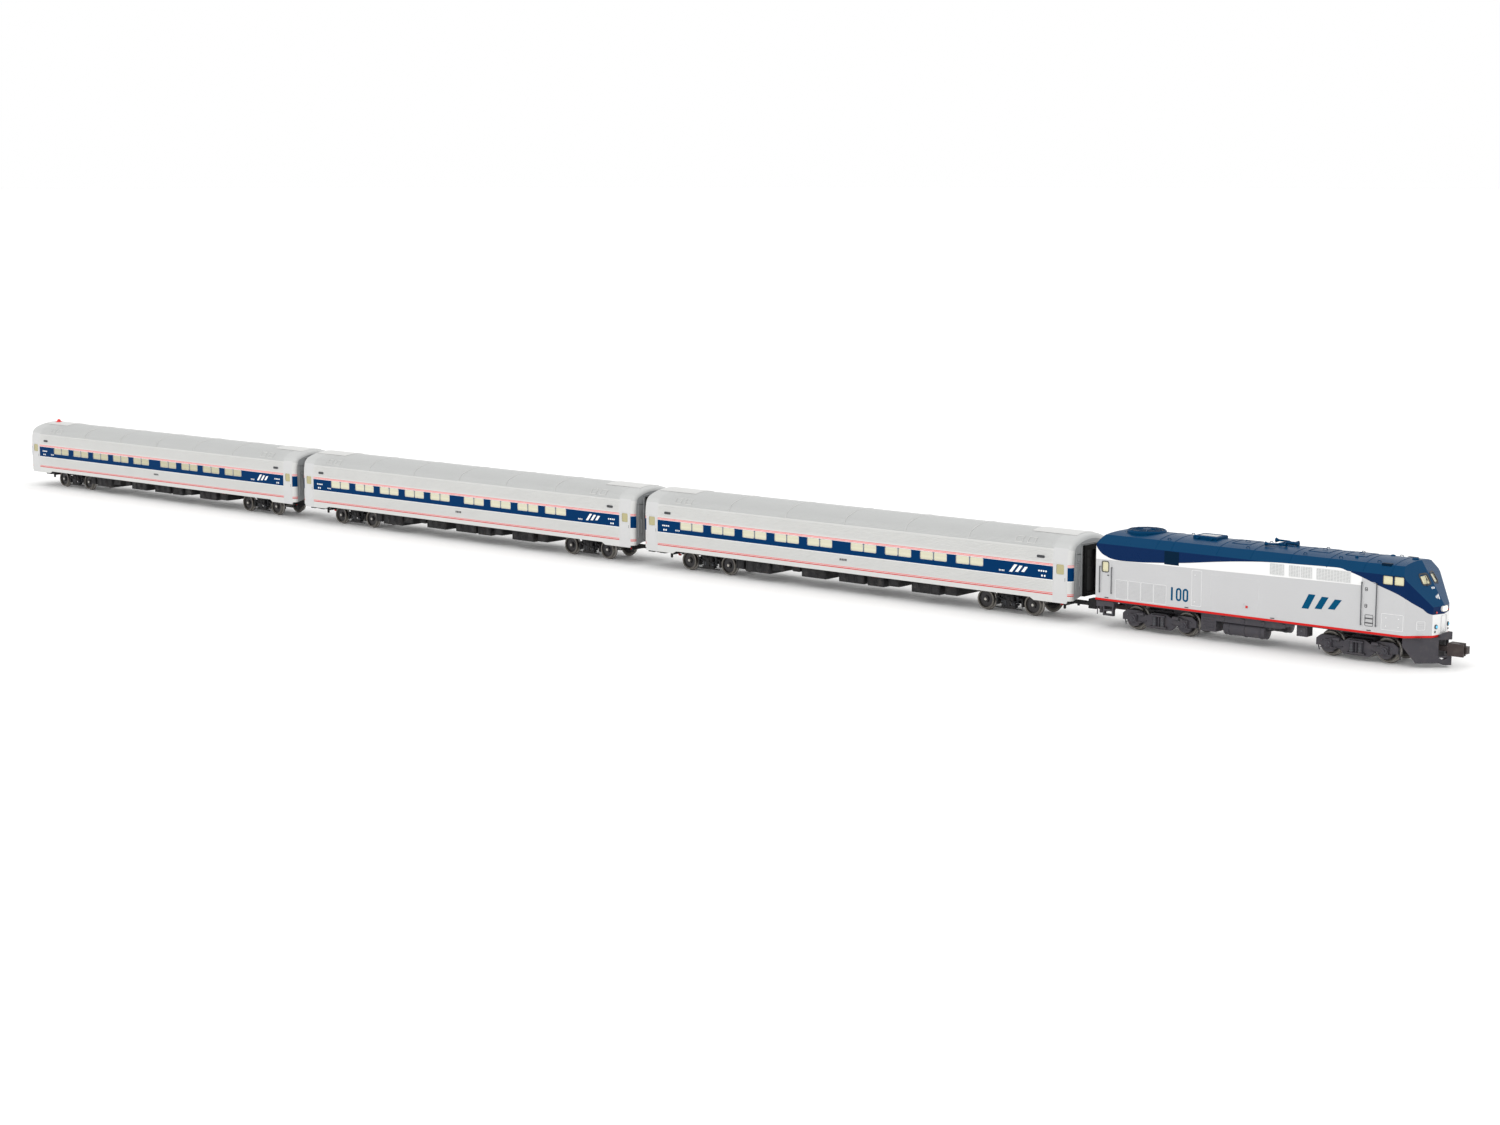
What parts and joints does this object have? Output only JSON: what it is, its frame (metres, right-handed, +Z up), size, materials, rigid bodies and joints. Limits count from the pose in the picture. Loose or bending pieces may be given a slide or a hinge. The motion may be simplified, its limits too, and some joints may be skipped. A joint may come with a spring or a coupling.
{
  "type": "model train",
  "caption": "O gauge model passenger train: a diesel locomotive with a sloped nose and fluted coaches on swivelling trucks, joined by couplers, wheels free to roll.",
  "frame": {"origin": "centre of the whole train in plan, at the bottom of the wheel flanges", "axes": "+X forward (locomotive leads), +Y left, +Z up"},
  "size_m": [2.022, 0.0666, 0.0929],
  "materials": {
    "coach_body": "silver-grey satin paint",
    "coach_glazing": "cream frosted glazing",
    "coach_black": "near-black satin plastic",
    "coach_end": "dark grey satin plastic",
    "interior": "blue-grey satin plastic",
    "loco_body": "semi-gloss painted plastic, grey, white and blue",
    "loco_blue": "semi-gloss blue paint",
    "loco_glazing": "cream lit glazing",
    "loco_black": "dark grey satin plastic",
    "headlight": "clear warm lens",
    "red_lens": "clear red lens",
    "wheel_steel": "blackened steel with bright tread",
    "coupler_metal": "dark bronze die-cast metal",
    "handrail": "grey painted wire",
    "screw_steel": "zinc plated steel",
    "motor_can": "plated steel can",
    "brass_gear": "machined brass",
    "board_green": "green glass-fibre board",
    "speaker_black": "black paper and steel"
  },
  "bodies": {
    "loco": {"loco_shell": "loco_body", "loco_windows": "loco_glazing", "loco_frame": "loco_black", "loco_pilot": "loco_black", "headlight_lens": "headlight", "roof_fan": "loco_blue", "exhaust_hatch": "loco_blue", "roof_horn": "loco_blue", "loco_handrails": "handrail", "shell_screws": "screw_steel", "circuit_board": "board_green", "speaker": "speaker_black"},
    "loco_front_truck": {"loco_front_truck": "loco_black"},
    "loco_front_truck_front_axle": {"loco_front_truck_front_axle": "wheel_steel"},
    "loco_front_truck_back_axle": {"loco_front_truck_back_axle": "wheel_steel"},
    "loco_rear_truck": {"loco_rear_truck": "loco_black", "drive_motor": "motor_can"},
    "loco_rear_truck_front_axle": {"loco_rear_truck_front_axle": "wheel_steel"},
    "loco_rear_truck_back_axle": {"loco_rear_truck_back_axle": "wheel_steel"},
    "motor_shaft": {"motor_shaft": "brass_gear"},
    "pickup_arm": {"pickup_arm": "coupler_metal"},
    "pickup_roller": {"pickup_roller": "wheel_steel"},
    "front_coupler": {"front_coupler": "coupler_metal"},
    "front_knuckle": {"front_knuckle": "coupler_metal"},
    "rear_coupler": {"rear_coupler": "coupler_metal"},
    "coach1_front_truck": {"coach1_front_truck": "coach_black"},
    "coach1": {"coach1_shell": "coach_body", "coach1_windows": "coach_glazing", "coach1_underframe": "coach_black", "coach1_diaphragms": "coach_end", "coach1_interior": "interior"},
    "coach1_rear_truck": {"coach1_rear_truck": "coach_black"},
    "coach1_front_truck_front_axle": {"coach1_front_truck_front_axle": "wheel_steel"},
    "coach1_front_truck_back_axle": {"coach1_front_truck_back_axle": "wheel_steel"},
    "coach1_rear_truck_front_axle": {"coach1_rear_truck_front_axle": "wheel_steel"},
    "coach1_rear_truck_back_axle": {"coach1_rear_truck_back_axle": "wheel_steel"},
    "coach2_front_truck": {"coach2_front_truck": "coach_black"},
    "coach2": {"coach2_shell": "coach_body", "coach2_windows": "coach_glazing", "coach2_underframe": "coach_black", "coach2_diaphragms": "coach_end", "coach2_interior": "interior"},
    "coach2_rear_truck": {"coach2_rear_truck": "coach_black"},
    "coach2_front_truck_front_axle": {"coach2_front_truck_front_axle": "wheel_steel"},
    "coach2_front_truck_back_axle": {"coach2_front_truck_back_axle": "wheel_steel"},
    "coach2_rear_truck_front_axle": {"coach2_rear_truck_front_axle": "wheel_steel"},
    "coach2_rear_truck_back_axle": {"coach2_rear_truck_back_axle": "wheel_steel"},
    "coach3_front_truck": {"coach3_front_truck": "coach_black"},
    "coach3": {"coach3_shell": "coach_body", "coach3_windows": "coach_glazing", "coach3_underframe": "coach_black", "coach3_diaphragms": "coach_end", "coach3_interior": "interior", "marker_lamp": "red_lens"},
    "coach3_rear_truck": {"coach3_rear_truck": "coach_black"},
    "coach3_front_truck_front_axle": {"coach3_front_truck_front_axle": "wheel_steel"},
    "coach3_front_truck_back_axle": {"coach3_front_truck_back_axle": "wheel_steel"},
    "coach3_rear_truck_front_axle": {"coach3_rear_truck_front_axle": "wheel_steel"},
    "coach3_rear_truck_back_axle": {"coach3_rear_truck_back_axle": "wheel_steel"},
    "coach3_rear_knuckle": {"coach3_rear_knuckle": "coupler_metal"}
  },
  "joints": [
    {"name": "loco_front_truck_swivel", "type": "hinge", "parent": "loco", "child": "loco_front_truck", "pos_m": [0.921, 0, 0.0193], "axis": [0, 0, 1], "range_deg": [-10, 10]},
    {"name": "loco_front_truck_front_axle_spin", "type": "hinge", "parent": "loco_front_truck", "child": "loco_front_truck_front_axle", "pos_m": [0.9476, 0, 0.0118], "axis": [0, 1, 0], "continuous": true},
    {"name": "loco_front_truck_back_axle_spin", "type": "hinge", "parent": "loco_front_truck", "child": "loco_front_truck_back_axle", "pos_m": [0.8944, 0, 0.0118], "axis": [0, 1, 0], "continuous": true},
    {"name": "loco_rear_truck_swivel", "type": "hinge", "parent": "loco", "child": "loco_rear_truck", "pos_m": [0.725, 0, 0.0193], "axis": [0, 0, 1], "range_deg": [-10, 10]},
    {"name": "loco_rear_truck_front_axle_spin", "type": "hinge", "parent": "loco_rear_truck", "child": "loco_rear_truck_front_axle", "pos_m": [0.7516, 0, 0.0118], "axis": [0, 1, 0], "continuous": true},
    {"name": "loco_rear_truck_back_axle_spin", "type": "hinge", "parent": "loco_rear_truck", "child": "loco_rear_truck_back_axle", "pos_m": [0.6984, 0, 0.0118], "axis": [0, 1, 0], "continuous": true},
    {"name": "motor_shaft_spin", "type": "hinge", "parent": "loco_rear_truck", "child": "motor_shaft", "pos_m": [0.74285, 0, 0.0213], "axis": [0, 0, 1], "continuous": true},
    {"name": "pickup_arm_lift", "type": "hinge", "parent": "loco_front_truck", "child": "pickup_arm", "pos_m": [0.912, 0, 0.0083], "axis": [0, -1, 0], "range_deg": [0, 10], "stiffness_Nm_per_rad": 0.002, "springref_deg": -28.65},
    {"name": "pickup_roller_spin", "type": "hinge", "parent": "pickup_arm", "child": "pickup_roller", "pos_m": [0.926, 0, 0.0043], "axis": [0, 1, 0], "continuous": true},
    {"name": "front_coupler_swing", "type": "hinge", "parent": "loco", "child": "front_coupler", "pos_m": [0.973, 0, 0.0163], "axis": [0, 0, 1], "range_deg": [-15, 15]},
    {"name": "front_knuckle_open", "type": "hinge", "parent": "front_coupler", "child": "front_knuckle", "pos_m": [1.006, 0.003, 0.0163], "axis": [0, 0, 1], "range_deg": [0, 35]},
    {"name": "rear_coupler_swing", "type": "hinge", "parent": "loco", "child": "rear_coupler", "pos_m": [0.682, 0, 0.0163], "axis": [0, 0, 1], "range_deg": [-12, 12]},
    {"name": "coach1_link", "type": "hinge", "parent": "rear_coupler", "child": "coach1_front_truck", "pos_m": [0.649, 0, 0.0163], "axis": [0, 0, 1], "range_deg": [-10, 10]},
    {"name": "coach1_front_truck_swivel", "type": "hinge", "parent": "coach1_front_truck", "child": "coach1", "pos_m": [0.5575, 0, 0.0213], "axis": [0, 0, 1], "range_deg": [-12, 12]},
    {"name": "coach1_rear_truck_swivel", "type": "hinge", "parent": "coach1", "child": "coach1_rear_truck", "pos_m": [0.1795, 0, 0.0213], "axis": [0, 0, 1], "range_deg": [-12, 12]},
    {"name": "coach1_front_truck_front_axle_spin", "type": "hinge", "parent": "coach1_front_truck", "child": "coach1_front_truck_front_axle", "pos_m": [0.5845, 0, 0.0108], "axis": [0, 1, 0], "continuous": true},
    {"name": "coach1_front_truck_back_axle_spin", "type": "hinge", "parent": "coach1_front_truck", "child": "coach1_front_truck_back_axle", "pos_m": [0.5305, 0, 0.0108], "axis": [0, 1, 0], "continuous": true},
    {"name": "coach1_rear_truck_front_axle_spin", "type": "hinge", "parent": "coach1_rear_truck", "child": "coach1_rear_truck_front_axle", "pos_m": [0.2065, 0, 0.0108], "axis": [0, 1, 0], "continuous": true},
    {"name": "coach1_rear_truck_back_axle_spin", "type": "hinge", "parent": "coach1_rear_truck", "child": "coach1_rear_truck_back_axle", "pos_m": [0.1525, 0, 0.0108], "axis": [0, 1, 0], "continuous": true},
    {"name": "coach2_link", "type": "hinge", "parent": "coach1_rear_truck", "child": "coach2_front_truck", "pos_m": [0.0935, 0, 0.0163], "axis": [0, 0, 1], "range_deg": [-8, 8]},
    {"name": "coach2_front_truck_swivel", "type": "hinge", "parent": "coach2_front_truck", "child": "coach2", "pos_m": [0.0075, 0, 0.0213], "axis": [0, 0, 1], "range_deg": [-12, 12]},
    {"name": "coach2_rear_truck_swivel", "type": "hinge", "parent": "coach2", "child": "coach2_rear_truck", "pos_m": [-0.3705, 0, 0.0213], "axis": [0, 0, 1], "range_deg": [-12, 12]},
    {"name": "coach2_front_truck_front_axle_spin", "type": "hinge", "parent": "coach2_front_truck", "child": "coach2_front_truck_front_axle", "pos_m": [0.0345, 0, 0.0108], "axis": [0, 1, 0], "continuous": true},
    {"name": "coach2_front_truck_back_axle_spin", "type": "hinge", "parent": "coach2_front_truck", "child": "coach2_front_truck_back_axle", "pos_m": [-0.0195, 0, 0.0108], "axis": [0, 1, 0], "continuous": true},
    {"name": "coach2_rear_truck_front_axle_spin", "type": "hinge", "parent": "coach2_rear_truck", "child": "coach2_rear_truck_front_axle", "pos_m": [-0.3435, 0, 0.0108], "axis": [0, 1, 0], "continuous": true},
    {"name": "coach2_rear_truck_back_axle_spin", "type": "hinge", "parent": "coach2_rear_truck", "child": "coach2_rear_truck_back_axle", "pos_m": [-0.3975, 0, 0.0108], "axis": [0, 1, 0], "continuous": true},
    {"name": "coach3_link", "type": "hinge", "parent": "coach2_rear_truck", "child": "coach3_front_truck", "pos_m": [-0.4565, 0, 0.0163], "axis": [0, 0, 1], "range_deg": [-8, 8]},
    {"name": "coach3_front_truck_swivel", "type": "hinge", "parent": "coach3_front_truck", "child": "coach3", "pos_m": [-0.5425, 0, 0.0213], "axis": [0, 0, 1], "range_deg": [-12, 12]},
    {"name": "coach3_rear_truck_swivel", "type": "hinge", "parent": "coach3", "child": "coach3_rear_truck", "pos_m": [-0.9205, 0, 0.0213], "axis": [0, 0, 1], "range_deg": [-12, 12]},
    {"name": "coach3_front_truck_front_axle_spin", "type": "hinge", "parent": "coach3_front_truck", "child": "coach3_front_truck_front_axle", "pos_m": [-0.5155, 0, 0.0108], "axis": [0, 1, 0], "continuous": true},
    {"name": "coach3_front_truck_back_axle_spin", "type": "hinge", "parent": "coach3_front_truck", "child": "coach3_front_truck_back_axle", "pos_m": [-0.5695, 0, 0.0108], "axis": [0, 1, 0], "continuous": true},
    {"name": "coach3_rear_truck_front_axle_spin", "type": "hinge", "parent": "coach3_rear_truck", "child": "coach3_rear_truck_front_axle", "pos_m": [-0.8935, 0, 0.0108], "axis": [0, 1, 0], "continuous": true},
    {"name": "coach3_rear_truck_back_axle_spin", "type": "hinge", "parent": "coach3_rear_truck", "child": "coach3_rear_truck_back_axle", "pos_m": [-0.9475, 0, 0.0108], "axis": [0, 1, 0], "continuous": true},
    {"name": "coach3_rear_knuckle_open", "type": "hinge", "parent": "coach3_rear_truck", "child": "coach3_rear_knuckle", "pos_m": [-1.006, -0.003, 0.0163], "axis": [0, 0, 1], "range_deg": [0, 35]}
  ],
  "couplings": [
    {"joint": "motor_shaft_spin", "follows": "loco_rear_truck_front_axle_spin", "ratio": 18}
  ]
}
